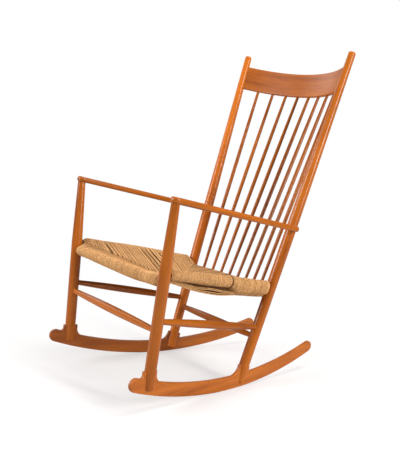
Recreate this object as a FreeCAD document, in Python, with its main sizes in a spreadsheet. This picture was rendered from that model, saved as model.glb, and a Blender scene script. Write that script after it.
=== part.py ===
"""Rocking chair with turned frame, bowed spindle back and woven cord seat, in millimetres.

+Z is up, the chair faces -Y and +X is the sitter's left. The origin is on the floor, midway
between the rockers, on the line where they touch the floor when the empty chair is at rest.
"""
import FreeCAD, Part
import Sketcher
import os
from math import asin, atan2, cos, degrees, hypot, sin, sqrt

doc = FreeCAD.newDocument("rocking_chair")
sheet = doc.addObject("Spreadsheet::Sheet", "sizes")

driving_sizes = {
    # Rockers: sawn boards, arc-shaped below and above, with a hump at each leg.
    "rocker_radius": 1190,
    "rocker_front_depth": 41,
    "rocker_middle_depth": 41.8,
    "rocker_tail_depth": 36.5,
    "rocker_thickness": 12,
    "rocker_front_reach": 410.9,
    "rocker_tail_reach": 394.2,
    "rocker_edge_round": 2,
    "hump_width": 48,
    "front_hump_height": 120.7,
    "rear_hump_height": 67.1,
    "front_hump_nose_fillet": 9,
    "front_hump_back_fillet": 26,
    "rear_hump_front_fillet": 36,
    "rear_hump_tail_fillet": 6,
    # Front legs: turned, plain below the seat and tapered up to the arm.
    "front_leg_floor_spread": 499.1,
    "front_leg_arm_spread": 565.8,
    "front_leg_floor_ahead": 342.9,
    "front_leg_arm_ahead": 306.1,
    "arm_height": 602.6,
    "front_leg_foot_diameter": 34,
    "front_leg_seat_diameter": 35,
    "front_leg_arm_diameter": 25,
    "front_leg_end_height": 65.6,
    "front_joint_height": 88.6,
    # Rear posts: turned in one length from rocker to crest.
    "post_floor_spread": 395.5,
    "post_top_spread": 523.2,
    "post_floor_behind": 36.8,
    "post_top_behind": 352,
    "post_top_height": 1085.4,
    "post_foot_diameter": 33,
    "post_seat_diameter": 34,
    "post_arm_diameter": 34,
    "post_crest_diameter": 26,
    "post_tip_diameter": 24,
    "post_tip_round": 7,
    "post_end_height": 12.9,
    "rear_joint_height": 65.6,
    "foot_round": 5,
    # Stretchers: turned, swelling towards the middle.
    "stretcher_end_diameter": 17,
    "stretcher_mid_diameter": 25,
    "front_stretcher_height": 237.8,
    "rear_stretcher_height": 161,
    "side_stretcher_front_height": 265.8,
    "side_stretcher_rear_height": 191.1,
    # Seat rails: the cord is wound round them, the side rails lie above the other two.
    "seat_rail_end_diameter": 15,
    "seat_rail_mid_diameter": 27,
    "front_rail_height": 377.9,
    "side_rail_front_height": 401.9,
    "side_rail_rear_height": 326.6,
    "rear_rail_height": 299.5,
    "rear_rail_diameter": 21,
    "rear_rail_bow": 22,
    # Back: eight spindles between the bowed rear rail and the bowed crest board.
    "crest_height": 84.5,
    "crest_behind": 3,
    "crest_thickness": 13.5,
    "crest_bow": 87,
    "crest_drop": 35,
    "crest_edge_round": 4,
    "spindle_count": 8,
    "spindle_rail_pitch": 44.5,
    "spindle_rail_ahead": 3,
    "spindle_crest_pitch": 56,
    "spindle_end_diameter": 10,
    "spindle_mid_diameter": 13,
    "spindle_crest_depth": 14,
    # Arms: tapered bars, rounded all round, on the front legs and beside the rear posts.
    "arm_front_width": 34,
    "arm_rear_width": 30,
    "arm_thickness": 18,
    "arm_edge_round": 7,
    "arm_rear_height": 516.3,
    "arm_rear_ahead": 14,
    "arm_housing_depth": 3,
    "arm_tenon_diameter": 15,
    "arm_tenon_length": 11,
    "dowel_diameter": 8,
    "dowel_length": 28,
    # Seat: paper cord wound over the four rails and woven to the middle.
    "cord_diameter": 3.4,
    "seat_corner_gap": 1,
    "roll_start_share": 0.6,
    "web_rise": 7,
    "web_belly": 28,
    "web_sag": 40,
    # Fits.
    "tenon_length": 20,
    "axis_gap": 3,
    "socket_floor_gap": 1,
    "socket_clearance": 0.1,
    "cord_clearance": 0.3,
    "rail_clearance": 1,
}
for row, (size_name, number) in enumerate(driving_sizes.items(), start=1):
    sheet.set(f"A{row}", size_name)
    sheet.set(f"B{row}", str(number))
    sheet.setAlias(f"B{row}", size_name)
doc.recompute()


upright = FreeCAD.Vector(0, 0, 1)
quarter_turn = 90
touch = 1e-4


def value(expression):
    """The number that an expression in the sheet's names gives."""
    return float(sheet.evalExpression(expression))


def vector(point):
    """A point given as three expressions, as numbers."""
    return FreeCAD.Vector(*[value(coordinate) for coordinate in point])


def between(low, high, share):
    return f"({low} + ({high} - {low}) * {share})"


def on_front_leg(height, sign=1):
    """The point of a front leg's axis at a height above the floor."""
    share = f"({height}) / sizes.arm_height"
    spread = between("sizes.front_leg_floor_spread", "sizes.front_leg_arm_spread", share)
    ahead = between("sizes.front_leg_floor_ahead", "sizes.front_leg_arm_ahead", share)
    return [f"({sign}) * {spread} / 2", f"-{ahead}", f"({height})"]


def on_post(height, sign=1):
    """The point of a rear post's axis at a height above the floor."""
    share = f"({height}) / sizes.post_top_height"
    spread = between("sizes.post_floor_spread", "sizes.post_top_spread", share)
    behind = between("sizes.post_floor_behind", "sizes.post_top_behind", share)
    return [f"({sign}) * {spread} / 2", behind, f"({height})"]


def bulge(share):
    """How far an arc has risen, as a share of its full rise, at a share of its length."""
    return 1 - (2 * share - 1) ** 2


def span(start, end):
    """The distance between two points, as an expression."""
    squares = [f"({b} - ({a}))^2" for a, b in zip(start, end)]
    return f"sqrt({' + '.join(squares)})"


def along(start, end):
    """The placement that lays a piece's own Z axis from one point towards another."""
    first = vector(start)
    direction = vector(end) - first
    return FreeCAD.Placement(first, FreeCAD.Rotation(upright, direction))


def plane_of(body, role):
    return [feature for feature in body.Origin.OriginFeatures if feature.Role == role][0]


def new_sketch(body, name, role):
    sketch = body.newObject("Sketcher::SketchObject", name)
    sketch.AttachmentSupport = [(plane_of(body, role), "")]
    sketch.MapMode = "FlatFace"
    return sketch


def pin_point(sketch, element, end, across, up):
    """Ties one end of a sketch element to two expressions, measured from the origin."""
    for kind, axis, expression in (("DistanceX", -2, across), ("DistanceY", -1, up)):
        number = value(expression)
        if number == 0:
            sketch.addConstraint(Sketcher.Constraint("PointOnObject", element, end, axis))
        else:
            index = sketch.addConstraint(Sketcher.Constraint(kind, -1, 1, element, end, number))
            sketch.setExpression(f"Constraints[{index}]", expression)


def turned(name, profile, swell=None):
    """A turned piece. The profile lists (radius, height) pairs from its foot to its top.

    With swell, a pair of (index, middle radius), the stretch after that point is an arc."""
    body = doc.addObject("PartDesign::Body", name)
    sketch = new_sketch(body, f"{name}_profile", "XZ_Plane")
    corners = [("0", profile[0][1])] + list(profile) + [("0", profile[-1][1])]
    spots = [FreeCAD.Vector(value(radius), value(height), 0) for radius, height in corners]
    count = len(corners)
    for number in range(count):
        start = spots[number]
        end = spots[(number + 1) % count]
        if swell and number == swell[0] + 1:
            middle = FreeCAD.Vector(value(swell[1]), (start.y + end.y) / 2, 0)
            sketch.addGeometry(Part.Arc(start, middle, end))
        else:
            sketch.addGeometry(Part.LineSegment(start, end))
    for number in range(count):
        sketch.addConstraint(Sketcher.Constraint("Coincident", number, 2, (number + 1) % count, 1))
    for number, (radius, height) in enumerate(corners):
        pin_point(sketch, number, 1, radius, height)
    if swell:
        low_radius, low = profile[swell[0]]
        rise = f"(({swell[1]}) - ({low_radius}))"
        half = f"((({profile[swell[0] + 1][1]}) - ({low})) / 2)"
        bend = f"({half}^2 + {rise}^2) / (2 * {rise})"
        arc = swell[0] + 1
        index = sketch.addConstraint(Sketcher.Constraint("Radius", arc, value(bend)))
        sketch.setExpression(f"Constraints[{index}]", bend)
    turn = body.newObject("PartDesign::Revolution", f"{name}_turning")
    turn.Profile = sketch
    turn.ReferenceAxis = (sketch, ["V_Axis"])
    turn.Angle = 4 * quarter_turn
    body.Tip = turn
    return body


def rod(name, start, end, end_diameter, mid_diameter):
    """A turned rod with plain tenons and a swelling middle, between two leg axes."""
    length = f"({span(start, end)})"
    end_radius = f"({end_diameter} / 2)"
    profile = [
        (end_radius, "sizes.axis_gap"),
        (end_radius, "sizes.tenon_length"),
        (end_radius, f"({length} - sizes.tenon_length)"),
        (end_radius, f"({length} - sizes.axis_gap)"),
    ]
    body = turned(name, profile, (1, f"({mid_diameter} / 2)"))
    body.Placement = along(start, end)
    return body


def bore(name, start, end, diameter):
    """The sockets of a rod at both its ends, as one cylinder a little wider and longer."""
    hole = doc.addObject("Part::Cylinder", name)
    hole.setExpression("Radius", f"{diameter} / 2 + sizes.socket_clearance")
    reach = "(sizes.axis_gap - sizes.socket_floor_gap)"
    hole.setExpression("Height", f"{span(start, end)} - 2 * {reach}")
    place = along(start, end)
    shift = place.Rotation.multVec(FreeCAD.Vector(0, 0, value(reach)))
    hole.Placement = FreeCAD.Placement(place.Base + shift, place.Rotation)
    return hole


def box(name, lengths, sunk_share):
    """A block centred on the upright axis, with a share of its height below the ground."""
    block = doc.addObject("Part::Box", name)
    for edge, expression in lengths.items():
        block.setExpression(edge, expression)
    half_length = value(lengths["Length"]) / 2
    half_width = value(lengths["Width"]) / 2
    block.Placement.Base = FreeCAD.Vector(
        -half_length, -half_width, -value(lengths["Height"]) * sunk_share
    )
    return block


def cut(name, base, tools):
    """A piece with the room for its neighbours cut out of it."""
    tool = tools[0]
    if len(tools) > 1:
        tool = doc.addObject("Part::MultiFuse", f"{name}_cuts")
        tool.Shapes = tools
    result = doc.addObject("Part::Cut", name)
    result.Base = base
    result.Tool = tool
    return result


def draw_loop(sketch, elements):
    """Adds a closed chain of lines and arcs, joined end to start and held as drawn."""
    for element in elements:
        sketch.addGeometry(element)
    for number in range(len(elements)):
        sketch.addConstraint(Sketcher.Constraint("Block", number))


def padded(body, sketch, name, length, midplane=False):
    pad = body.newObject("PartDesign::Pad", name)
    pad.Profile = sketch
    pad.setExpression("Length", length)
    pad.Midplane = midplane
    body.Tip = pad
    doc.recompute()
    return pad


def filleted(body, name, edges, radius):
    base = body.Tip
    fillet = body.newObject("PartDesign::Fillet", name)
    fillet.Base = (base, edges)
    fillet.setExpression("Radius", radius)
    body.Tip = fillet
    doc.recompute()
    return fillet


def edges_where(body, test):
    """The names of the edges of a body's last feature that pass a test."""
    edges = body.Tip.Shape.Edges
    return [f"Edge{number}" for number, edge in enumerate(edges, start=1) if test(edge)]


nodes = {}
sides = (("left", 1), ("right", -1))

# Rods of the underframe and the seat. Each runs from one leg's axis to another's.
rods = {
    "front_stretcher": (
        on_front_leg("sizes.front_stretcher_height", -1),
        on_front_leg("sizes.front_stretcher_height"),
        "stretcher",
    ),
    "rear_stretcher": (
        on_post("sizes.rear_stretcher_height", -1),
        on_post("sizes.rear_stretcher_height"),
        "stretcher",
    ),
    "seat_front_rail": (
        on_front_leg("sizes.front_rail_height", -1),
        on_front_leg("sizes.front_rail_height"),
        "seat_rail",
    ),
}
for side, sign in sides:
    rods[f"side_stretcher_{side}"] = (
        on_front_leg("sizes.side_stretcher_front_height", sign),
        on_post("sizes.side_stretcher_rear_height", sign),
        "stretcher",
    )
    rods[f"seat_side_rail_{side}"] = (
        on_front_leg("sizes.side_rail_front_height", sign),
        on_post("sizes.side_rail_rear_height", sign),
        "seat_rail",
    )
bores = {}
for name, (start, end, kind) in rods.items():
    nodes[name] = rod(name, start, end, f"sizes.{kind}_end_diameter", f"sizes.{kind}_mid_diameter")
    bores[name] = bore(f"{name}_bore", start, end, f"sizes.{kind}_end_diameter")


# The rear seat rail is a round rod bent to an arc, bowed backwards between the posts.
rail_end = on_post("sizes.rear_rail_height")
rail_half = f"({rail_end[0]})"
rail_bend = f"(({rail_half}^2 + sizes.rear_rail_bow^2) / (2 * sizes.rear_rail_bow))"
rail_turn = f"asin({rail_half} / {rail_bend})"
rail_centre = vector(rail_end) + FreeCAD.Vector(0, value(f"sizes.rear_rail_bow - {rail_bend}"), 0)
rail_centre.x = 0


def bent_rod(name, radius, short):
    """A piece of a ring on the rear rail's arc, shortened by a length at each end."""
    ring = doc.addObject("Part::Torus", name)
    ring.setExpression("Radius1", rail_bend)
    ring.setExpression("Radius2", radius)
    turn = f"({rail_turn} - {short} / {rail_bend} * 1 rad)"
    ring.setExpression("Angle3", f"2 * {turn}")
    half_turn = asin(value(f"{rail_half} / {rail_bend}")) - value(f"{short} / {rail_bend}")
    ring.Placement = FreeCAD.Placement(
        rail_centre, FreeCAD.Rotation(upright, quarter_turn - degrees(half_turn))
    )
    return ring


rear_rail = bent_rod("seat_rear_rail_rod", "sizes.rear_rail_diameter / 2", "sizes.axis_gap")
rear_rail_bore = bent_rod(
    "seat_rear_rail_bore",
    "sizes.rear_rail_diameter / 2 + sizes.socket_clearance",
    "(sizes.axis_gap - sizes.socket_floor_gap)",
)


def on_rear_rail(across):
    """The point of the rear rail's axis at a distance from the middle."""
    bow = f"(sizes.rear_rail_bow - {rail_bend} + sqrt({rail_bend}^2 - ({across})^2))"
    return [across, f"({rail_end[1]} + {bow})", "sizes.rear_rail_height"]


# The crest is a bent board that stands in line with the posts. It is made flat on its own
# ground plane, with Z along the posts, and then leaned back with them.
crest_foot_height = "(sizes.post_top_height - (sizes.crest_drop + sizes.crest_height))"
crest_end = on_post(crest_foot_height)
crest_half = f"({crest_end[0]})"
crest_bend = f"(({crest_half}^2 + sizes.crest_bow^2) / (2 * sizes.crest_bow))"
post_run = "(sizes.post_top_behind - sizes.post_floor_behind)"
post_length = f"sqrt({post_run}^2 + sizes.post_top_height^2)"
lean_sine = f"({post_run} / {post_length})"
lean_cosine = f"(sizes.post_top_height / {post_length})"
crest_end[1] = f"({crest_end[1]} + sizes.crest_behind * {lean_cosine})"
crest_end[2] = f"({crest_end[2]} - sizes.crest_behind * {lean_sine})"
crest_place = FreeCAD.Placement(
    FreeCAD.Vector(0, value(crest_end[1]), value(crest_end[2])),
    FreeCAD.Rotation(FreeCAD.Vector(1, 0, 0), -degrees(asin(value(lean_sine)))),
)


def crest_board(name, spare):
    """The bent board, or with some spare the room that it needs in the posts."""
    body = doc.addObject("PartDesign::Body", name)
    sketch = new_sketch(body, f"{name}_plan", "XY_Plane")
    bend = value(crest_bend)
    centre = FreeCAD.Vector(0, value("sizes.crest_bow") - bend, 0)
    half_turn = asin(value(f"{crest_half} - sizes.axis_gap + {spare}") / bend)
    outer = bend + value(f"sizes.crest_thickness / 2 + {spare}")
    inner = bend - value(f"sizes.crest_thickness / 2 + {spare}")
    corners = {}
    for radius in (outer, inner):
        for sign in (-1, 1):
            across = FreeCAD.Vector(sign * sin(half_turn), cos(half_turn), 0)
            corners[radius, sign] = centre + across * radius
    middle = FreeCAD.Vector(0, 1, 0)
    draw_loop(sketch, [
        Part.Arc(corners[outer, -1], centre + middle * outer, corners[outer, 1]),
        Part.LineSegment(corners[outer, 1], corners[inner, 1]),
        Part.Arc(corners[inner, 1], centre + middle * inner, corners[inner, -1]),
        Part.LineSegment(corners[inner, -1], corners[outer, -1]),
    ])
    padded(body, sketch, f"{name}_height", f"sizes.crest_height + 2 * {spare}")
    return body


crest = crest_board("crest_board", "0")
crest_room = crest_board("crest_room", "sizes.socket_clearance")
long_edges = edges_where(
    crest, lambda edge: edge.BoundBox.ZLength < touch and edge.Length > value("sizes.crest_height")
)
filleted(crest, "crest_rounding", long_edges, "sizes.crest_edge_round")
crest.Placement = crest_place
down = crest_place.Rotation.multVec(FreeCAD.Vector(0, 0, -value("sizes.socket_clearance")))
crest_room.Placement = FreeCAD.Placement(crest_place.Base + down, crest_place.Rotation)


# Spindles stand in the rear rail and end in the lower edge of the crest.
def in_crest(across, depth):
    """A point in the middle of the crest's thickness, at a depth above its lower edge."""
    bow = f"(sizes.crest_bow - {crest_bend} + sqrt({crest_bend}^2 - {across}^2))"
    behind = f"({crest_end[1]} + {bow} * {lean_cosine} + {depth} * {lean_sine})"
    height = f"({crest_end[2]} - {bow} * {lean_sine} + {depth} * {lean_cosine})"
    return [across, behind, height]


spindle_bores = []
for number in range(int(value("sizes.spindle_count"))):
    steps = f"({number} - (sizes.spindle_count - 1) / 2)"
    foot = on_rear_rail(f"(sizes.spindle_rail_pitch * {steps})")
    foot[1] = f"({foot[1]} - sizes.spindle_rail_ahead)"
    head = in_crest(f"(sizes.spindle_crest_pitch * {steps})", "sizes.spindle_crest_depth")
    name = f"spindle_{number + 1}"
    length = f"({span(foot, head)})"
    radius = "(sizes.spindle_end_diameter / 2)"
    profile = [
        (radius, "0"),
        (radius, "sizes.tenon_length"),
        (radius, f"({length} - sizes.tenon_length)"),
        (radius, length),
    ]
    spindle = turned(name, profile, (1, "(sizes.spindle_mid_diameter / 2)"))
    spindle.Placement = along(foot, head)
    nodes[name] = spindle
    hole = doc.addObject("Part::Cylinder", f"{name}_bore")
    hole.setExpression("Radius", "sizes.spindle_end_diameter / 2 + sizes.socket_clearance")
    hole.setExpression("Height", f"{length} + 2 * sizes.socket_floor_gap")
    drop = spindle.Placement.Rotation.multVec(FreeCAD.Vector(0, 0, -value("sizes.socket_floor_gap")))
    hole.Placement = FreeCAD.Placement(spindle.Placement.Base + drop, spindle.Placement.Rotation)
    spindle_bores.append(hole)

nodes["seat_rear_rail"] = cut("seat_rear_rail", rear_rail, spindle_bores)
nodes["crest_rail"] = cut("crest_rail", crest, spindle_bores)


# Rockers stand on edge in an upright plane through both legs of their side, so they toe in
# towards the back. Their outline is drawn in that plane, from the point of contact.
def rocker_place(sign):
    """The rocker's own frame: Y along it to the back, Z up, its origin at the contact."""
    front = vector(on_front_leg("sizes.front_joint_height", sign))
    rear = vector(on_post("sizes.rear_joint_height", sign))
    run = rear - front
    contact = front + run * (-front.y / run.y)
    contact.z = 0
    toe_in = degrees(atan2(-run.x, run.y))
    return FreeCAD.Placement(contact, FreeCAD.Rotation(upright, toe_in))


def band_point(radius, turn):
    """A point of an arc about the rocker's centre, at an angle from the contact."""
    return FreeCAD.Vector(radius * sin(turn), value("sizes.rocker_radius") - radius * cos(turn), 0)


def rocker_end(end, direction):
    """The lower corner, the outermost point and the upper corner of a rocker's round end."""
    low = value("sizes.rocker_radius")
    depth = value(f"sizes.rocker_{end}_depth")
    turn = direction * asin((value(f"sizes.rocker_{end}_reach") - depth / 2) / (low - depth / 2))
    outward = FreeCAD.Vector(cos(turn), sin(turn), 0) * direction
    cap = band_point(low - depth / 2, turn) + outward * (depth / 2)
    return band_point(low, turn), cap, band_point(low - depth, turn)


tail_low, tail_cap, tail_top = rocker_end("tail", 1)
front_low, front_cap, front_top = rocker_end("front", -1)
top_arc = Part.Arc(tail_top, FreeCAD.Vector(0, value("sizes.rocker_middle_depth"), 0), front_top)
top_circle = top_arc.toShape().Curve


def rocker_band(sketch):
    """The plain rocker: an arc below, another above that comes nearer to the tail, and round ends."""
    draw_loop(sketch, [
        Part.Arc(front_low, FreeCAD.Vector(0, 0, 0), tail_low),
        Part.Arc(tail_low, tail_cap, tail_top),
        top_arc,
        Part.Arc(front_top, front_cap, front_low),
    ])


def leg_in_rocker(place, axis, height, sign):
    """Where a leg crosses a height, and its direction, both in the rocker's own plane."""
    inverse = place.inverse()
    spot = inverse.multVec(vector(axis(height, sign)))
    lower = inverse.multVec(vector(axis("0", sign)))
    spot.x = 0
    lower.x = 0
    direction = spot - lower
    direction.normalize()
    return spot, direction


def hump(sketch, spot, direction):
    """A block round the foot of a leg, square to the leg, from mid board up to its ledge."""
    top = FreeCAD.Vector(spot.y, spot.z, 0)
    rise = FreeCAD.Vector(direction.y, direction.z, 0)
    aside = FreeCAD.Vector(rise.y, -rise.x, 0) * (value("sizes.hump_width") / 2)
    radius = value("sizes.rocker_radius")
    floor = radius - sqrt(radius * radius - top.x * top.x) + value("sizes.rocker_tail_depth") / 2
    base = top - rise * (top.y - floor)
    corners = [top - aside, top + aside, base + aside, base - aside]
    draw_loop(sketch, [Part.LineSegment(corners[n], corners[(n + 1) % 4]) for n in range(4)])


def on_top_arc(edge):
    """Whether an edge runs across the board, on the arc of the rocker's upper side."""
    middle = edge.CenterOfMass
    across = edge.BoundBox.XLength > value("sizes.rocker_thickness") / 2
    from_centre = hypot(middle.y - top_circle.Center.x, middle.z - top_circle.Center.y)
    return across and abs(from_centre - top_circle.Radius) < touch


humps = (("front_hump", on_front_leg), ("rear_hump", on_post))
hump_fillets = (
    "front_hump_nose_fillet",
    "front_hump_back_fillet",
    "rear_hump_front_fillet",
    "rear_hump_tail_fillet",
)
slots = {}
for side, sign in sides:
    place = rocker_place(sign)
    body = doc.addObject("PartDesign::Body", f"rocker_{side}")
    outline = new_sketch(body, f"rocker_{side}_band", "YZ_Plane")
    rocker_band(outline)
    padded(body, outline, f"rocker_{side}_board", "sizes.rocker_thickness", True)
    for name, axis in humps:
        spot, direction = leg_in_rocker(place, axis, f"sizes.{name}_height", sign)
        outline = new_sketch(body, f"rocker_{side}_{name}_outline", "YZ_Plane")
        hump(outline, spot, direction)
        padded(body, outline, f"rocker_{side}_{name}", "sizes.rocker_thickness", True)
        slot = box(f"{name}_slot_{side}", {
            "Length": "sizes.rocker_thickness + 2 * sizes.socket_clearance",
            "Width": "2 * sizes.hump_width",
            "Height": f"sizes.{name}_height",
        }, 1)
        lean = FreeCAD.Rotation(upright, direction)
        slot.Placement = place.multiply(FreeCAD.Placement(spot, lean)).multiply(slot.Placement)
        slots[name, side] = slot
    found = edges_where(body, on_top_arc)
    corners = [body.Tip.Shape.getElement(name).CenterOfMass for name in found]
    corners.sort(key=lambda point: point.y)
    for fillet_name, corner in zip(hump_fillets, corners[1:-1]):
        found = edges_where(body, lambda edge: edge.CenterOfMass.distanceToPoint(corner) < touch)
        filleted(body, f"{fillet_name}_{side}", found, f"sizes.{fillet_name}")
    face_level = value("sizes.rocker_thickness") / 2
    found = edges_where(
        body,
        lambda edge: edge.BoundBox.XLength < touch and abs(abs(edge.CenterOfMass.x) - face_level) < touch,
    )
    filleted(body, f"rocker_{side}_rounding", found, "sizes.rocker_edge_round")
    body.Placement = place
    nodes[f"rocker_{side}"] = body


# Arms: a bar with a half round at each end. The front end lies over the leg, the rear end
# beside the post, a little housed round it and held by a dowel.
def arm_frame(sign):
    """The arm's own frame: Y along it to the back, Z square to its top, origin under its nose."""
    front = vector(on_front_leg("sizes.arm_height", sign))
    post = vector(on_post("sizes.arm_rear_height", sign))
    contact = value("(sizes.post_arm_diameter + sizes.arm_rear_width) / 2 - sizes.arm_housing_depth")
    ahead = value("sizes.arm_rear_ahead")
    out = sqrt(contact * contact - ahead * ahead)
    centre = post + FreeCAD.Vector(sign * out, -ahead, 0)
    level = FreeCAD.Vector(0, 0, value("sizes.arm_thickness") / 2)
    run = centre - level - front
    length = run.Length
    run.normalize()
    aside = run.cross(upright)
    aside.normalize()
    turn = FreeCAD.Rotation(aside, run, aside.cross(run), "YZX")
    return FreeCAD.Placement(front, turn), length, post, centre


def arm_plan(sketch, length):
    front = value("sizes.arm_front_width") / 2
    rear = value("sizes.arm_rear_width") / 2
    slant = (front - rear) / length
    wide = sqrt(1 - slant * slant)
    points = {}
    for name, radius, along_arm in (("front", front, 0), ("rear", rear, length)):
        for sign in (-1, 1):
            points[name, sign] = FreeCAD.Vector(sign * radius * wide, along_arm + radius * slant, 0)
    draw_loop(sketch, [
        Part.Arc(points["front", -1], FreeCAD.Vector(0, -front, 0), points["front", 1]),
        Part.LineSegment(points["front", 1], points["rear", 1]),
        Part.Arc(points["rear", 1], FreeCAD.Vector(0, length + rear, 0), points["rear", -1]),
        Part.LineSegment(points["rear", -1], points["front", -1]),
    ])


def pin(name, start, end, diameter, length):
    """A round pin from one point towards another."""
    piece = doc.addObject("Part::Cylinder", name)
    piece.setExpression("Radius", f"({diameter}) / 2")
    piece.setExpression("Height", length)
    direction = end - start
    piece.Placement = FreeCAD.Placement(start, FreeCAD.Rotation(upright, direction))
    return piece


arm_rooms = {}
leg_tenons = {}
dowels = []
dowel_bores = {}
for side, sign in sides:
    place, length, post, centre = arm_frame(sign)
    body = doc.addObject("PartDesign::Body", f"arm_{side}_bar")
    plan = new_sketch(body, f"arm_{side}_plan", "XY_Plane")
    arm_plan(plan, length)
    padded(body, plan, f"arm_{side}_thickness", "sizes.arm_thickness")
    rims = edges_where(body, lambda edge: edge.BoundBox.ZLength < touch)
    filleted(body, f"arm_{side}_rounding", rims, "sizes.arm_edge_round")
    body.Placement = place
    room = box(
        f"arm_room_{side}",
        {edge: "2 * sizes.arm_front_width" for edge in ("Length", "Width", "Height")},
        0,
    )
    room.Placement = place.multiply(room.Placement)
    arm_rooms[side] = room
    leg_foot = vector(on_front_leg("sizes.front_leg_end_height", sign))
    tenon_foot = vector(on_front_leg("sizes.arm_height - sizes.tenon_length", sign))
    tenon_reach = "sizes.tenon_length + sizes.arm_tenon_length"
    top = tenon_foot + (tenon_foot - leg_foot)
    leg_tenons[side] = pin(f"arm_tenon_{side}", tenon_foot, top, "sizes.arm_tenon_diameter", tenon_reach)
    tenon_hole = pin(
        f"arm_tenon_{side}_bore",
        tenon_foot,
        top,
        "sizes.arm_tenon_diameter + 2 * sizes.socket_clearance",
        f"{tenon_reach} + sizes.socket_floor_gap",
    )
    inward = post - centre
    inward.normalize()
    mid = centre + inward * value("sizes.arm_rear_width / 2 - sizes.arm_housing_depth")
    half = value("sizes.dowel_length") / 2
    dowel_foot = mid - inward * half
    dowels.append(
        pin(f"arm_dowel_{side}", dowel_foot, mid, "sizes.dowel_diameter", "sizes.dowel_length")
    )
    longer = half + value("sizes.socket_floor_gap")
    dowel_bores[side] = pin(
        f"arm_dowel_{side}_bore",
        mid - inward * longer,
        mid,
        "sizes.dowel_diameter + 2 * sizes.socket_clearance",
        "sizes.dowel_length + 2 * sizes.socket_floor_gap",
    )
    post_low = vector(on_post("sizes.arm_rear_height - sizes.arm_front_width", sign))
    post_room = pin(
        f"post_room_{side}",
        post_low,
        vector(on_post("sizes.post_top_height", sign)),
        "sizes.post_arm_diameter + 2 * sizes.socket_clearance",
        "2 * sizes.arm_front_width",
    )
    nodes[f"arm_{side}"] = cut(f"arm_{side}", body, [tenon_hole, post_room, dowel_bores[side]])
arm_dowels = doc.addObject("Part::Compound", "arm_dowels")
arm_dowels.Links = dowels
nodes["arm_dowels"] = arm_dowels


def round_rim(body, name, height, radius):
    """Rounds the rim of a turned piece at a height along it."""
    rim = edges_where(
        body,
        lambda edge: edge.BoundBox.ZLength < touch and abs(edge.BoundBox.ZMin - height) < touch,
    )
    filleted(body, name, rim, radius)


def up_axis(axis, low, height, sign):
    """The distance along a leg's axis from one height to another."""
    return f"({span(axis(low, sign), axis(height, sign))})"


# Front legs and rear posts: turned, slotted over the rockers and bored for the rods.
for side, sign in sides:
    low = "sizes.front_leg_end_height"
    foot = on_front_leg(low, sign)
    above_arm = "sizes.arm_height + sizes.arm_thickness / 2"
    seat_rise = up_axis(on_front_leg, low, "sizes.side_rail_front_height", sign)
    arm_rise = up_axis(on_front_leg, low, "sizes.arm_height", sign)
    name = f"front_leg_{side}"
    leg = turned(f"{name}_turned", [
        ("sizes.front_leg_foot_diameter / 2", "0"),
        ("sizes.front_leg_seat_diameter / 2", seat_rise),
        ("sizes.front_leg_arm_diameter / 2", arm_rise),
        ("sizes.front_leg_arm_diameter / 2", up_axis(on_front_leg, low, above_arm, sign)),
    ])
    doc.recompute()
    round_rim(leg, f"{name}_foot_round", 0, "sizes.foot_round")
    leg.Placement = along(foot, on_front_leg("sizes.arm_height", sign))
    trimmed = cut(f"{name}_trimmed", leg, [
        slots["front_hump", side],
        arm_rooms[side],
        bores["front_stretcher"],
        bores[f"side_stretcher_{side}"],
        bores["seat_front_rail"],
        bores[f"seat_side_rail_{side}"],
    ])
    whole = doc.addObject("Part::Fuse", name)
    whole.Base = trimmed
    whole.Tool = leg_tenons[side]
    nodes[name] = whole

    low = "sizes.post_end_height"
    foot = on_post(low, sign)
    tip_rise = up_axis(on_post, low, "sizes.post_top_height", sign)
    name = f"rear_post_{side}"
    post = turned(f"{name}_turned", [
        ("sizes.post_foot_diameter / 2", "0"),
        ("sizes.post_seat_diameter / 2", up_axis(on_post, low, "sizes.side_rail_rear_height", sign)),
        ("sizes.post_arm_diameter / 2", up_axis(on_post, low, "sizes.arm_rear_height", sign)),
        ("sizes.post_crest_diameter / 2", up_axis(on_post, low, crest_foot_height, sign)),
        ("sizes.post_tip_diameter / 2", tip_rise),
    ])
    doc.recompute()
    round_rim(post, f"{name}_foot_round", 0, "sizes.foot_round")
    round_rim(post, f"{name}_tip_round", value(tip_rise), "sizes.post_tip_round")
    post.Placement = along(foot, on_post("sizes.post_top_height", sign))
    nodes[name] = cut(name, post, [
        slots["rear_hump", side],
        bores["rear_stretcher"],
        bores[f"side_stretcher_{side}"],
        bores[f"seat_side_rail_{side}"],
        rear_rail_bore,
        crest_room,
        dowel_bores[side],
    ])


# The woven seat: a roll of cord round each rail, and a web that dips between the side rails.
# Its rolls and its web are shaped in a few equal steps of their length, from the front. The
# shares say how much of the full sag on top, and of the full slack below, it has at each step.
seat_steps = 4
sag_shares = (0, 0.5, 0.88, 0.85, 0)
slack_shares = (0, 0, 0.1, 1, 0.5)


def wound(name, start, end, ends, spare):
    """A straight-sided form round a rail: the rail's swelling taken in steps, with some spare."""
    length = f"({span(start, end)})"
    thin = f"(sizes.seat_rail_end_diameter / 2 + {spare})"
    full = f"(sizes.seat_rail_mid_diameter / 2 + {spare})"
    between_tenons = f"({length} - 2 * sizes.tenon_length)"
    profile = [(thin, ends[0])]
    for step in range(seat_steps + 1):
        share = step / seat_steps
        place = f"(sizes.tenon_length + {between_tenons} * {share})"
        profile.append((between(thin, full, bulge(share)), place))
    profile.append((thin, f"({length} - {ends[1]})"))
    body = turned(name, profile)
    body.Placement = along(start, end)
    return body


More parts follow.
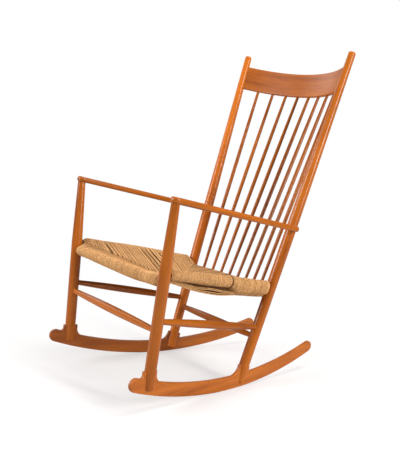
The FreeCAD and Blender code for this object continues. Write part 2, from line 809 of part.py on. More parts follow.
leg_radius = "sizes.front_leg_seat_diameter / 2"
post_radius = "sizes.post_seat_diameter / 2"
front_rail = rods["seat_front_rail"]
leg_start = f"({leg_radius} * sizes.roll_start_share)"
post_start = f"({post_radius} * sizes.roll_start_share)"
cord = "sizes.cord_diameter"
spare = "sizes.rail_clearance"
whole_rail = ("sizes.axis_gap", "sizes.axis_gap")
rolls = [wound("front_roll", front_rail[0], front_rail[1], (leg_start, leg_start), cord)]
rail_rooms = [wound("front_rail_room", front_rail[0], front_rail[1], whole_rail, spare)]
upright_rooms = []
for side, sign in sides:
    start, end = rods[f"seat_side_rail_{side}"][:2]
    rolls.append(wound(f"side_roll_{side}", start, end, (leg_start, post_start), cord))
    rail_rooms.append(wound(f"side_rail_room_{side}", start, end, whole_rail, spare))
    for name, axis, diameter, low, high in (
        ("leg", on_front_leg, "front_leg_seat_diameter", "front_stretcher_height", "arm_height"),
        ("post", on_post, "post_seat_diameter", "side_stretcher_rear_height", "arm_height"),
    ):
        foot = axis(f"sizes.{low}", sign)
        head = axis(f"sizes.{high}", sign)
        clear = f"sizes.{diameter} + 2 * sizes.seat_corner_gap"
        upright_rooms.append(
            pin(f"seat_{name}_room_{side}", vector(foot), vector(head), clear, span(foot, head))
        )
rolls.append(bent_rod("rear_roll", "sizes.rear_rail_diameter / 2 + sizes.cord_diameter", post_start))
rail_rooms.append(bent_rod("rear_rail_room", "sizes.rear_rail_diameter / 2 + sizes.cord_clearance", "0"))
for number, hole in enumerate(spindle_bores, start=1):
    room = doc.addObject("Part::Cylinder", f"spindle_{number}_room")
    room.setExpression("Radius", "sizes.spindle_end_diameter / 2 + sizes.cord_clearance")
    room.setExpression("Height", "sizes.tenon_length")
    room.Placement = hole.Placement
    upright_rooms.append(room)

web_front = vector(front_rail[1])
web_rear = vector(on_rear_rail("0"))
side_front = vector(rods["seat_side_rail_left"][0])
side_rear = vector(rods["seat_side_rail_left"][1])
web_sections = []
for step in range(seat_steps + 1):
    share = step / seat_steps
    behind = web_front.y + (web_rear.y - web_front.y) * share
    side_share = (behind - side_front.y) / (side_rear.y - side_front.y)
    edge = side_front + (side_rear - side_front) * side_share
    sag = value("sizes.web_sag") * sag_shares[step]
    middle = web_front.z + (web_rear.z - web_front.z) * share - sag
    rise = value("sizes.web_rise")
    belly = rise + (value("sizes.web_belly") - rise) * slack_shares[step]
    corners = {}
    for sign in (-1, 1):
        for up in (-1, 1):
            corners[sign, up] = FreeCAD.Vector(sign * edge.x, edge.z + up * rise, 0)
    section = doc.addObject("Sketcher::SketchObject", f"web_section_{step + 1}")
    section.Placement = FreeCAD.Placement(
        FreeCAD.Vector(0, behind, 0), FreeCAD.Rotation(FreeCAD.Vector(1, 0, 0), quarter_turn)
    )
    draw_loop(section, [
        Part.Arc(corners[-1, 1], FreeCAD.Vector(0, middle + rise, 0), corners[1, 1]),
        Part.LineSegment(corners[1, 1], corners[1, -1]),
        Part.Arc(corners[1, -1], FreeCAD.Vector(0, middle - belly, 0), corners[-1, -1]),
        Part.LineSegment(corners[-1, -1], corners[-1, 1]),
    ])
    web_sections.append(section)
web = doc.addObject("Part::Loft", "web")
web.Sections = web_sections
web.Solid = True
woven = doc.addObject("Part::MultiFuse", "seat_cords")
woven.Shapes = [web] + rolls
hollowed = cut("seat_hollowed", woven, rail_rooms)
nodes["seat_weave"] = cut("seat_weave", hollowed, upright_rooms)

doc.recompute()
for item in doc.Objects:
    if "Invalid" in item.State or "Error" in item.State:
        raise RuntimeError(f"{item.Label} failed: {item.State}")
os.makedirs("parts", exist_ok=True)
for name, item in nodes.items():
    item.Label = name
    if item.Shape.isNull() or not item.Shape.isValid():
        raise RuntimeError(f"{name} has no valid shape")
    item.Shape.exportStep(f"parts/{name}.step")
    print(f"{name}: {len(item.Shape.Solids)} solid, volume {item.Shape.Volume:.0f}")
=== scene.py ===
"""Looks of a rocking chair: oiled wood frame, bowed spindle back and woven paper-cord seat."""
import bmesh
import bpy
import numpy as np
from math import pi
from mathutils import Matrix, Vector


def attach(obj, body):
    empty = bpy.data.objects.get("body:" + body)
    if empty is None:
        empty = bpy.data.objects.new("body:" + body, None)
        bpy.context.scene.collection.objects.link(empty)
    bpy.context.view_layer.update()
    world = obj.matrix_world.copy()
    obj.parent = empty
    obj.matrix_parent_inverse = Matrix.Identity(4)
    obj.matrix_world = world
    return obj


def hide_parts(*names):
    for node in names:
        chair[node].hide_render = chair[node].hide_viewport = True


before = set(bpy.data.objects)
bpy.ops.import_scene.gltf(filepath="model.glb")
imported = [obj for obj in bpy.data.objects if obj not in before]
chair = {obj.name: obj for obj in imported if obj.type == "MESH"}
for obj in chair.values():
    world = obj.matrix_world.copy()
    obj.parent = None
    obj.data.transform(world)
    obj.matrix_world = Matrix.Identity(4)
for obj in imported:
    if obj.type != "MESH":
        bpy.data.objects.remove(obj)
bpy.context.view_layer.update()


# The rockers are two thin boards sawn to an arc, with a hump left standing at each leg.
# They are of the same oiled hardwood as the whole frame, and the legs straddle them.
def new_finish(name):
    """A fresh material, and its main shader."""
    material = bpy.data.materials.new(name)
    material.use_nodes = True
    return material, material.node_tree.nodes["Principled BSDF"]


def feed(material, node, inputs):
    """Gives a node its inputs, each by name, or by i and its number.

    A socket is linked to the input, and any other value is kept in it."""
    for name, value in inputs.items():
        numbered = name[0] == "i" and name[1:].isdigit()
        socket = node.inputs[int(name[1:]) if numbered else name]
        if isinstance(value, bpy.types.NodeSocket):
            material.node_tree.links.new(value, socket)
        else:
            socket.default_value = value


def add_node(material, kind, settings=None, **inputs):
    """Adds a shader node to a material or to the world."""
    node = material.node_tree.nodes.new(kind)
    for name, value in (settings or {}).items():
        setattr(node, name, value)
    feed(material, node, inputs)
    return node


def maths(material, operation, first, second=0.0):
    """One step of arithmetic with sockets or numbers."""
    return add_node(material, "ShaderNodeMath", {"operation": operation}, i0=first, i1=second).outputs[0]


def weighed_sum(material, *parts):
    """The sum of sockets, from (socket, weight) pairs."""
    products = [maths(material, "MULTIPLY", socket, weight) for socket, weight in parts]
    total = products[0]
    for product in products[1:]:
        total = maths(material, "ADD", total, product)
    return total


def ramp(material, factor, stops):
    """A colour ramp, from (place, colour) pairs."""
    node = add_node(material, "ShaderNodeValToRGB", Fac=factor)
    elements = node.color_ramp.elements
    while len(elements) < len(stops):
        elements.new(0.5)
    for element, (place, colour) in zip(elements, stops):
        element.position = place
        element.color = (*colour, 1.0)
    return node.outputs["Color"]


def grain_places(material, along, arc):
    """Places in the wood with Z along the grain, which is straight, or follows an arc in a bent board.

    The arc is (place, radius): the place's own XY plane holds it, with its centre on the Z axis."""
    spot = add_node(material, "ShaderNodeTexCoord").outputs["Object"]
    if not arc:
        turn = Vector(along).rotation_difference(Vector((0, 0, 1))).to_euler()
        return add_node(material, "ShaderNodeMapping", Vector=spot, Rotation=turn).outputs[0]
    place, radius = arc
    inverse = place.inverted()
    local = add_node(
        material, "ShaderNodeMapping", Vector=spot, Location=inverse.translation, Rotation=inverse.to_euler()
    ).outputs[0]
    parts = add_node(material, "ShaderNodeSeparateXYZ", Vector=local).outputs
    turn = maths(material, "ARCTAN2", parts["X"], parts["Y"])
    run = maths(material, "MULTIPLY", turn, radius)
    squares = [maths(material, "MULTIPLY", parts[axis], parts[axis]) for axis in "XY"]
    across = maths(material, "SQRT", maths(material, "ADD", *squares))
    return add_node(material, "ShaderNodeCombineXYZ", X=across, Y=parts["Z"], Z=run).outputs[0]


wood_tones = (
    (0.34, (0.165, 0.034, 0.0025)),
    (0.48, (0.345, 0.083, 0.0045)),
    (0.60, (0.440, 0.114, 0.0070)),
    (0.74, (0.520, 0.148, 0.0130)),
)
pore_tones = ((0.33, (0.45, 0.36, 0.30)), (0.42, (1.0, 1.0, 1.0)))
pore_strength = 0.35
seed_steps = (0.37, 0.61, 1.13)
turned_sheen = (0.13, 0.28)
board_sheen = (0.28, 0.38)


def oiled_wood(name, along, seed, painted_light=1.0, arc=None, sheen=turned_sheen):
    """Oiled hardwood with its grain in the direction given, or along the arc of a bent board.

    The painted light scales this piece's colour: painted light where it is above 1, painted shade
    where it is below. The sheen is (roughness, strength): sawn boards have a broader one than turned rods."""
    material, shader = new_finish(name)
    grain = add_node(
        material, "ShaderNodeMapping", Vector=grain_places(material, along, arc),
        Location=[seed * step for step in seed_steps],
    ).outputs[0]

    def streaks(scale, stretch, detail, rough):
        stretched = add_node(material, "ShaderNodeMapping", Vector=grain, Scale=(1, 1, stretch)).outputs[0]
        return add_node(
            material, "ShaderNodeTexNoise", Vector=stretched, Scale=scale, Detail=detail, Roughness=rough
        ).outputs[0]

    figure = streaks(scale=34.0, stretch=0.09, detail=3.0, rough=0.55)
    fibre = streaks(scale=420.0, stretch=0.025, detail=2.0, rough=0.6)
    pores = streaks(scale=900.0, stretch=0.09, detail=1.0, rough=0.5)
    cloud = streaks(scale=7.0, stretch=0.5, detail=2.0, rough=0.5)
    tone_and_shade = weighed_sum(material, (figure, 0.62), (fibre, 0.26), (cloud, 0.22))
    # The piece's painted light and shade scale every tone of its wood.
    painted_light_tones = [(place, [part * painted_light for part in colour]) for place, colour in wood_tones]
    colour = add_node(
        material, "ShaderNodeMix", {"data_type": "RGBA", "blend_type": "MULTIPLY"},
        i0=pore_strength, i6=ramp(material, tone_and_shade, painted_light_tones), i7=ramp(material, pores, pore_tones),
    ).outputs[2]
    least_rough, strength = sheen
    rough = maths(material, "ADD", weighed_sum(material, (fibre, 0.14)), least_rough)
    relief = weighed_sum(material, (fibre, 0.6), (pores, 1.0))
    bump = add_node(material, "ShaderNodeBump", Strength=0.06, Distance=0.0004, Height=relief).outputs[0]
    feed(material, shader, {
        "Base Color": colour, "Roughness": rough, "Normal": bump, "Specular IOR Level": strength,
    })
    return material


def finish_piece(name, material):
    """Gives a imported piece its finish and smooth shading."""
    piece = chair[name]
    piece.data.materials.clear()
    piece.data.materials.append(material)
    for polygon in piece.data.polygons:
        polygon.use_smooth = True


sides = (("left", 1), ("right", -1))
rocker_toe_in = 0.134
# The near rocker is painted a little lighter and the far one darker: painted light and painted shade.
rocker_painted_light_and_shade = {"left": 1.06, "right": 0.88}
for side, sign in sides:
    rocker_run = (-sign * rocker_toe_in, 1, 0)
    rocker_wood = oiled_wood(
        f"rocker wood {side}", rocker_run, seed=3 + sign, painted_light=rocker_painted_light_and_shade[side], sheen=board_sheen
    )
    finish_piece(f"rocker_{side}", rocker_wood)

# The front legs and rear posts are turned from straight stock, slotted at the foot to straddle
# the rockers, and bored for the rods. Their grain runs up the piece.
leg_lean_out = 0.0553
leg_lean_back = 0.0611
# The near front leg is painted darker than the far one: painted shade.
leg_painted_shade = {"left": 0.83, "right": 0.98}
post_lean_out = 0.0588
post_lean_back = 0.2904
# The far rear post is painted much lighter: painted light on a post that lies in shade.
post_painted_light = {"left": 1.0, "right": 1.4}
for side, sign in sides:
    leg_run = (sign * leg_lean_out, leg_lean_back, 1)
    leg_wood = oiled_wood(f"front leg wood {side}", leg_run, seed=11 + 2 * sign, painted_light=leg_painted_shade[side])
    finish_piece(f"front_leg_{side}", leg_wood)
    post_run = (sign * post_lean_out, post_lean_back, 1)
    post_wood = oiled_wood(f"rear post wood {side}", post_run, seed=21 + 2 * sign, painted_light=post_painted_light[side])
    finish_piece(f"rear_post_{side}", post_wood)

# The stretchers and seat rails are turned rods that swell towards the middle and end in round
# tenons in the legs and posts. The rear rail is bent backwards. The cord covers all four rails,
# so that their wood shows at most as a glint in a gap, and the rails' wood is painted dark: painted shade.
rail_painted_shade = 0.3
cross_run = (1, 0, 0)
# The front and rear stretchers are painted a little lighter: painted light.
cross_painted_light_and_shade = {
    "front_stretcher": 1.05, "rear_stretcher": 1.05,
    "seat_front_rail": rail_painted_shade, "seat_rear_rail": rail_painted_shade,
}
for number, (name, painted_light) in enumerate(cross_painted_light_and_shade.items()):
    finish_piece(name, oiled_wood(f"{name} wood", cross_run, seed=31 + 3 * number, painted_light=painted_light))
# The side stretchers are painted a little darker: painted shade.
side_painted_shade = {"side_stretcher": 0.9, "seat_side_rail": rail_painted_shade}
side_runs = {"side_stretcher": (-0.0553, 0.419, -0.0747), "seat_side_rail": (-0.0548, 0.45, -0.0753)}
for name, (out, back, up) in side_runs.items():
    for side, sign in sides:
        side_run = (sign * out, back, up)
        side_wood = oiled_wood(f"{name} wood {side}", side_run, seed=47 + 2 * sign, painted_light=side_painted_shade[name])
        finish_piece(f"{name}_{side}", side_wood)

# The eight spindles are thin turned rods of the same wood. They stand in bores in the rear seat
# rail, lean back with the posts, and fan out to bores in the crest board's lower edge.
spindle_count = 8
spindle_foot_pitch = 0.0445
spindle_head_pitch = 0.056
spindle_rise = 0.675
spindle_lean_back = 0.27
# All but the first two spindles are painted darker, most of all those past the middle: painted shade.
spindle_painted_shade = (1.0, 1.0, 0.9, 0.75, 0.68, 0.65, 0.7, 0.8)
for number, painted_light in enumerate(spindle_painted_shade):
    fan_out = (number - (spindle_count - 1) / 2) * (spindle_head_pitch - spindle_foot_pitch)
    spindle_run = (fan_out, spindle_lean_back, spindle_rise)
    spindle_wood = oiled_wood(f"spindle wood {number + 1}", spindle_run, seed=61 + 5 * number, painted_light=painted_light)
    finish_piece(f"spindle_{number + 1}", spindle_wood)

# The crest is a board of the same wood, bent to an arc, with its grain along the bend.
# It is let into both posts and bored from below for the spindles.
crest_centre = (0, 0.0042, 1.0568)
crest_lean = -0.2826
crest_radius = 0.416
# The crest is painted a little darker: painted shade.
crest_painted_shade = 0.95
crest_place = Matrix.Translation(crest_centre) @ Matrix.Rotation(crest_lean, 4, "X")
crest_arc = (crest_place, crest_radius)
crest_wood = oiled_wood("crest wood", None, seed=83, painted_light=crest_painted_shade, arc=crest_arc, sheen=board_sheen)
finish_piece("crest_rail", crest_wood)

# The arms are rounded, tapered bars of the same wood. Each is bored from below for the round end
# of its front leg and let into the side of its rear post, where a hidden dowel holds it.
arm_out = -0.029
arm_back = 0.479
arm_up = -0.095
# Both arms are painted darker, the far one most: painted shade.
arm_painted_shade = {"left": 0.93, "right": 0.81}
for side, sign in sides:
    arm_run = (sign * arm_out, arm_back, arm_up)
    arm_wood = oiled_wood(f"arm wood {side}", arm_run, seed=91 + 3 * sign, painted_light=arm_painted_shade[side])
    finish_piece(f"arm_{side}", arm_wood)
finish_piece("arm_dowels", oiled_wood("dowel wood", cross_run, seed=97))

# The seat is woven from one long twisted paper cord. Each pass comes up through the middle, goes
# over the top, round the outside of a rail and back below, so four triangles meet near the centre.
# Nothing else holds it. With use it has dipped on top and hangs slack underneath.
cord_width = 0.0033
cord_pitch = 0.0035
front_rail_end = np.array((0.2705, -0.3198, 0.3779))
side_rail_front = np.array((0.2718, -0.3184, 0.4019))
side_rail_rear = np.array((0.2170, 0.1316, 0.3266))
rear_rail_end = np.array((0.2154, 0.1238, 0.2995))
rear_rail_bow = 0.022
seat_dice = np.random.default_rng(41)


def smooth(share):
    """Eases a share from 0 to 1."""
    share = np.clip(share, 0, 1)
    return share * share * (3 - 2 * share)


def eased(share, shares):
    """A smooth line through evenly spaced shares."""
    shares = np.array(shares, float)
    steps = len(shares) - 1
    step = np.minimum((share * steps).astype(int), steps - 1)
    part = share * steps - step
    slopes = np.gradient(shares)
    rise = shares[step + 1] - shares[step]
    bend = (1 - part) * (slopes[step] - rise) - part * (slopes[step + 1] - rise)
    return shares[step] + rise * part + part * (1 - part) * bend


def along_side_rail(share):
    """Points of the left side rail's middle line."""
    return side_rail_front + np.multiply.outer(share, side_rail_rear - side_rail_front)


# Away from the rails the two layers lie close together. They sag most behind the middle, and the
# lower one hangs slack towards the back. Near the side rails both keep to the rails' height.
seat_sag = 0.040
sag_shares = (0, 0.5, 0.88, 0.85, 0)
seat_slack = 0.012
slack_shares = (0, 0, 0.1, 1, 0.5)
half_layer = 0.0053
dish_power = 1.5


def seat_level(x, y):
    """The height of the seat's middle at a place, and how far below it the lower layer hangs."""
    depth = rear_rail_end[1] + rear_rail_bow - front_rail_end[1]
    share = np.clip((y - front_rail_end[1]) / depth, 0, 1)
    middle = front_rail_end[2] + (rear_rail_end[2] - front_rail_end[2]) * share
    middle = middle - seat_sag * eased(share, sag_shares)
    edge = along_side_rail((y - side_rail_front[1]) / (side_rail_rear[1] - side_rail_front[1]))
    across = np.abs(np.clip(x / edge[..., 0], -1, 1)) ** dish_power
    level = middle + (edge[..., 2] - middle) * across
    slack = half_layer + seat_slack * np.clip(eased(share, slack_shares), 0, 1) * (1 - across ** 2)
    return level, slack


leg_clear = 0.0202
rail_tenon = 0.020
rail_end_radius = 0.0075
rail_swell = 0.006
loose_radius = 0.0112
loose_ease = 0.009


def from_leg(places, length):
    """How far each pass on a rail lies from the nearer leg."""
    return np.minimum(places, length - places) - leg_clear


def wrap_radius(places, length):
    """The radius inside each wrap: the rail's own, or a looser one near the legs.

    At the very end the wraps close in on the rail."""
    share = np.clip((places - rail_tenon) / (length - 2 * rail_tenon), 0, 1)
    rail = rail_end_radius + rail_swell * (1 - (2 * share - 1) ** 2)
    opened = smooth(from_leg(places, length) / loose_ease)
    return np.maximum(rail, rail_end_radius + (loose_radius - rail_end_radius) * opened)


bunch_least = 2
bunch_most = 4
bunch_pull = (0.10, 0.26)
opening_push = 0.0028
opening_reach = 0.014


def bunched(places, openings=()):
    """How far each pass leans along its rail, inside.

    With use the passes have drawn together in small bunches, and apart at a few openings."""
    lean = np.zeros(len(places))
    first = 0
    while first < len(places):
        bunch = slice(first, first + seat_dice.integers(bunch_least, bunch_most + 1))
        lean[bunch] = (places[bunch].mean() - places[bunch]) * seat_dice.uniform(*bunch_pull)
        first = bunch.stop
    for opening in openings:
        beside = places - opening
        lean += np.sign(beside) * opening_push * np.exp(-np.abs(beside) / opening_reach)
    return lean[:, None]


# A row of passes is kept for each rail: where they wrap it, where they spread to inside, the rail's
# direction, the way inward, the radius of each wrap, and how far each pass droops below its rail.
rail_rows = {}

# On the side rails the passes droop more towards the back, where the slack runs below them end.
# The left row has one gap, and the right row's roll is the looser one.
corner_gap = 0.0208
seat_openings = {"left": (0.070, 0.150, 0.330), "right": (0.095, 0.232, 0.246, 0.263, 0.300)}
row_gap_place = 0.262
row_gap = {"left": cord_width * 1.6, "right": 0.0}
side_hang = 0.047
side_hang_shares = (0.45, 0.63, 0.85, 0.97, 1.02, 0.93, 0.87, 0.86, 0.80)
side_droop_front = 0.15
side_droop_start = 0.55
side_droop_ease = 0.12
roll_slack = {"left": 0.0, "right": 0.0034}
roll_ease = 0.02
roll_front_share = 1.1
roll_share_fall = 0.75
for side, sign in sides:
    flip = np.array((sign, 1, 1))
    run = side_rail_rear - side_rail_front
    length = np.linalg.norm(run)
    axis = run / length * flip
    inward = np.array((-sign * axis[1], sign * axis[0], 0.0))
    inward /= np.linalg.norm(inward)
    places = np.arange(corner_gap, length - leg_clear - cord_width, cord_pitch)
    places[places > row_gap_place] += row_gap[side]
    spots = side_rail_front * flip + places[:, None] * axis
    spread = spots + bunched(places, seat_openings[side]) * axis
    share = places / length
    slack = roll_slack[side] * smooth(from_leg(places, length) / roll_ease)
    radius = wrap_radius(places, length) + slack * (roll_front_share - roll_share_fall * share)
    to_back = smooth((share - side_droop_start) / side_droop_ease)
    droop_share = side_droop_front + (1 - side_droop_front) * to_back
    droop = (side_hang * eased(share, side_hang_shares) - radius) * droop_share
    rail_rows[side] = (spots, spread, axis, inward, radius, droop)

# On the front rail the passes lie from right to left. They droop a little below the rail, most of
# all about three quarters of the way along.
front_hang = 0.010
front_hang_shares = (0.40, 0.60, 0.72, 0.78, 0.88, 1.20, 1.25, 0.74, 0.40)
axis = np.array((1.0, 0, 0))
length = 2 * front_rail_end[0]
places = np.arange(leg_clear, length - leg_clear, cord_pitch)
spots = front_rail_end * np.array((-1, 1, 1)) + places[:, None] * axis
spread = spots + bunched(places) * axis
droop = front_hang * eased(places / length, front_hang_shares)
rail_rows["front"] = (spots, spread, axis, np.array((0, 1.0, 0)), wrap_radius(places, length), droop)

# On the rear rail the passes fill the bays between the spindles and spread evenly inside. They lie
# tight on the bent rail, with no droop.
rear_rail_radius = 0.0105
rear_pitch = 0.0034
bay_cords = 10
bay_places = (np.arange(bay_cords) - (bay_cords - 1) / 2) * rear_pitch
bays = (np.arange(spindle_count + 1) - spindle_count / 2) * spindle_foot_pitch
across = (bays[:, None] + bay_places).ravel()
rear_bend = (rear_rail_end[0] ** 2 + rear_rail_bow ** 2) / (2 * rear_rail_bow)
behind = rear_rail_end[1] + rear_rail_bow - rear_bend + np.sqrt(rear_bend ** 2 - across ** 2)
spots = np.stack([across, behind, np.full_like(across, rear_rail_end[2])], 1)
spread = spots.copy()
spread[:, 0] = np.linspace(across[0], across[-1], len(across))
radius = np.full_like(across, rear_rail_radius)
rail_rows["rear"] = (spots, spread, axis, np.array((0, -1.0, 0)), radius, np.zeros_like(across))

least_reach = 0.004


def to_mitre(name, spots, inward):
    """How far each pass runs from its rail before it meets the passes of a neighbouring rail."""
    reach = np.full(len(spots), np.inf)
    for other, (others, _, _, other_inward, _, _) in rail_rows.items():
        if other != name:
            middle = others[len(others) // 2]
            reach = np.minimum(reach, (spots - middle) @ other_inward / (1 - inward @ other_inward))
    return np.maximum(reach, least_reach)


pass_shares = np.array((0, 0.012, 0.04, 0.09, 0.16, 0.27, 0.42, 0.62, 0.9, 1))
wrap_steps = 8
wrap_turns = np.linspace(0, pi, wrap_steps)[1:-1]
wrap_scatter = 0.00025
lift_scatter = 0.0004
spread_reach = 0.035
tuck_depth = 0.006
tuck_start = 0.9
dip_reach = 0.065
wrap_droop = 0.6
droop_full_from = 0.018
droop_full_to = 0.02
droop_fade = 0.06
inside_reach = 0.03


def pass_paths(name):
    """The lines of all the passes round one rail, from the middle over the top and back below.

    With them come how far inside the seat each point lies, from 0 to 1, and the rail's direction."""
    spots, spread, axis, inward, rail_radius, droop = rail_rows[name]
    count = len(spots)
    rise = np.cross(axis, inward)
    rise *= np.sign(rise[2])
    radius = (rail_radius + cord_width / 2)[:, None] + seat_dice.normal(0, wrap_scatter, (count, 1))
    lift = seat_dice.normal(0, lift_scatter, (count, 1))
    inset = to_mitre(name, spread, inward)[:, None] * pass_shares
    drift = smooth(inset / spread_reach)[..., None] * (spread - spots)[:, None, :]
    flat = spots[:, None, :] + inset[..., None] * inward + drift
    tuck = tuck_depth * smooth((pass_shares - tuck_start) / (1 - tuck_start))

    over = flat + radius[..., None] * rise
    level, _ = seat_level(over[..., 0], over[..., 1])
    over[..., 2] += (level[:, -1:] + half_layer + lift - over[..., 2]) * pass_shares - tuck

    under = flat - radius[..., None] * rise
    level, slack = seat_level(under[..., 0], under[..., 1])
    under[..., 2] += (level - slack - under[..., 2]) * smooth(inset / dip_reach) + tuck
    hung = wrap_droop + (1 - wrap_droop) * smooth(inset / droop_full_from)
    under[..., 2] -= droop[:, None] * hung * (1 - smooth((inset - droop_full_to) / droop_fade))

    round_rail = np.cos(wrap_turns)[:, None] * rise - np.sin(wrap_turns)[:, None] * inward
    wrap = spots[:, None, :] + radius[..., None] * round_rail
    wrap[..., 2] -= wrap_droop * droop[:, None] * smooth(wrap_turns / pi * 2 - 1)
    inside = smooth(inset / inside_reach)
    inside = np.concatenate([inside[:, ::-1], np.zeros((count, len(wrap_turns))), inside], 1)
    return np.concatenate([over[:, ::-1], wrap, under], 1), inside, axis


# Below each side rail some runs go lengthwise. They have worked loose and hang in slack curves:
# a few in front, which part in the middle, and a close row behind them, painted dark as painted shade.
run_start = 0.045
run_end = 0.64
run_steps = 28
run_shares = np.linspace(run_start, run_end, run_steps)
parting_start = 0.26
parting_length = 0.33
front_run_partings = (0, 0.0010, 0.0054, 0.0054)
front_run_pitch = cord_width * 1.1
front_run_inset = 0.005
front_run_inset_step = 0.0016
back_run_count = 13
back_run_rise = cord_width * 0.8
back_run_inset = 0.0125
back_run_inset_step = 0.0004
back_run_painted_shade = 3.0


def long_runs(sign):
    """The lines of the lengthwise runs below one side rail, those in front first."""
    edge = along_side_rail(run_shares)
    hang = side_hang * eased(run_shares, side_hang_shares)
    parting = np.sin(pi * np.clip((run_shares - parting_start) / parting_length, 0, 1)) ** 2
    places = []
    for row, parted in enumerate(front_run_partings):
        below = hang - cord_width / 2 - front_run_pitch * row - parted * parting
        places.append((front_run_inset + front_run_inset_step * row, below))
    for row in range(back_run_count):
        below = hang - (hang - rail_end_radius) * row / back_run_count - back_run_rise
        places.append((back_run_inset + back_run_inset_step * row, below))
    return np.stack([
        np.stack([sign * (edge[:, 0] - inset), edge[:, 1], edge[:, 2] - below], 1) for inset, below in places
    ])


cord_sides = 6
cord_cap = np.array(((0, 1, 2, 3), (0, 3, 4, 5)))


def cord_tubes(paths, aside):
    """Six-sided tubes along many lines, each end closed with two faces.

    Gives the points, the faces, and how far along its tube and round it each point lies."""
    count, steps = paths.shape[:2]
    heading = np.gradient(paths, axis=1)
    heading /= np.linalg.norm(heading, axis=2, keepdims=True)
    aside = aside - (heading @ aside)[..., None] * heading
    aside /= np.linalg.norm(aside, axis=2, keepdims=True)
    over = np.cross(heading, aside)
    turn = np.linspace(0, 2 * pi, cord_sides, endpoint=False)
    ring = np.cos(turn)[:, None] * aside[:, :, None, :] + np.sin(turn)[:, None] * over[:, :, None, :]
    points = paths[:, :, None, :] + ring * cord_width / 2
    hops = np.linalg.norm(np.diff(paths, axis=1), axis=2)
    along = np.concatenate([np.zeros((count, 1)), np.cumsum(hops, 1)], 1)
    index = np.arange(count * steps * cord_sides).reshape(count, steps, cord_sides)
    beside = np.roll(index, -1, 2)
    walls = np.stack([index[:, :-1], beside[:, :-1], beside[:, 1:], index[:, 1:]], -1)
    caps = (index[:, -1][:, cord_cap], index[:, 0][:, cord_cap[:, ::-1]])
    faces = np.concatenate([quads.reshape(-1, 4) for quads in (walls, *caps)])
    return points.reshape(-1, 3), faces, np.repeat(along.ravel(), cord_sides), np.tile(turn, count * steps)


def set_out(name, data):
    """Puts a new object into the scene, from its mesh, lamp or camera."""
    thing = bpy.data.objects.new(name, data)
    bpy.context.scene.collection.objects.link(thing)
    return thing


seat_points, seat_faces = [], []
seat_marks = {"along": [], "around": [], "tone_and_shade": [], "inside": []}
first = 0
for name in ("front", "left", "right", "rear", "runs left", "runs right"):
    if name in rail_rows:
        paths, inside, aside = pass_paths(name)
        painted_run_shade = np.zeros(len(paths))
    else:
        paths = long_runs(dict(sides)[name.split()[1]])
        inside = np.ones(paths.shape[:2])
        aside = np.array((0, 0, 1.0))
        # The runs behind are painted dark through their tone: painted shade.
        painted_run_shade = np.repeat((0.0, back_run_painted_shade), (len(front_run_partings), back_run_count))
    points, faces, along, around = cord_tubes(paths, aside)
    tones_and_shade = seat_dice.random(len(paths)) - painted_run_shade
    seat_points.append(points)
    seat_faces.append(faces + first)
    seat_marks["along"].append(along)
    seat_marks["around"].append(around)
    seat_marks["tone_and_shade"].append(np.repeat(tones_and_shade, len(points) // len(paths)))
    seat_marks["inside"].append(np.repeat(inside.ravel(), cord_sides))
    first += len(points)
seat_mesh = bpy.data.meshes.new("woven_seat")
seat_mesh.from_pydata(np.concatenate(seat_points), [], np.concatenate(seat_faces))
for label, numbers in seat_marks.items():
    layer = seat_mesh.attributes.new(label, "FLOAT", "POINT")
    layer.data.foreach_set("value", np.concatenate(numbers).astype(np.float32))
seat_mesh.shade_smooth()
woven_seat = set_out("woven_seat", seat_mesh)

# The cord is brown paper with a fine twist and small specks. Each pass has its own tone and use has
# worn it in places. The grooves between the cords are painted dark, as painted shade, most of all inside the
# seat.
cord_tones = (
    (0.15, (0.100, 0.041, 0.011)),
    (0.50, (0.450, 0.216, 0.070)),
    (0.74, (0.680, 0.356, 0.134)),
    (0.98, (0.860, 0.500, 0.215)),
)
twist_rate = 1100.0
groove_shade_power = 3.0
groove_shade_depth = 0.62
groove_shade_inside = 0.40
paper_cord, cord_shader = new_finish("paper cord")


def cord_mark(label):
    """One of the numbers kept with each point of the cord."""
    return add_node(paper_cord, "ShaderNodeAttribute", {"attribute_name": label}).outputs["Fac"]


cord_round = cord_mark("around")
twist = weighed_sum(paper_cord, (cord_mark("along"), twist_rate), (cord_round, 1.0))
twist = maths(paper_cord, "SINE", twist)
cord_spot = add_node(paper_cord, "ShaderNodeTexCoord").outputs["Object"]
worn = add_node(paper_cord, "ShaderNodeTexNoise", Vector=cord_spot, Scale=26.0, Detail=3.0).outputs[0]
speckle = add_node(paper_cord, "ShaderNodeTexNoise", Vector=cord_spot, Scale=300.0, Detail=2.0).outputs[0]
# Painted shade: each cord is darkened at its sides, towards its neighbours, and more inside the seat.
painted_groove_shade = maths(paper_cord, "ABSOLUTE", maths(paper_cord, "COSINE", cord_round))
painted_groove_shade = maths(paper_cord, "POWER", painted_groove_shade, groove_shade_power)
depth = weighed_sum(paper_cord, (cord_mark("inside"), groove_shade_inside))
depth = maths(paper_cord, "ADD", depth, groove_shade_depth)
painted_groove_shade = maths(paper_cord, "MULTIPLY", painted_groove_shade, depth)
# The tone mark holds each pass's own tone, and the painted shade of the runs behind.
shade = weighed_sum(paper_cord, (cord_mark("tone_and_shade"), 0.20), (worn, 0.25), (speckle, 1.10), (twist, 0.05))
shade = maths(paper_cord, "SUBTRACT", shade, painted_groove_shade)
cord_bump = add_node(paper_cord, "ShaderNodeBump", Strength=0.5, Distance=0.0006, Height=twist).outputs[0]
feed(paper_cord, cord_shader, {
    "Base Color": ramp(paper_cord, shade, cord_tones), "Roughness": 0.72, "Specular IOR Level": 0.3,
    "Normal": cord_bump,
})
seat_mesh.materials.append(paper_cord)
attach(woven_seat, "root")
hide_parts("seat_weave")

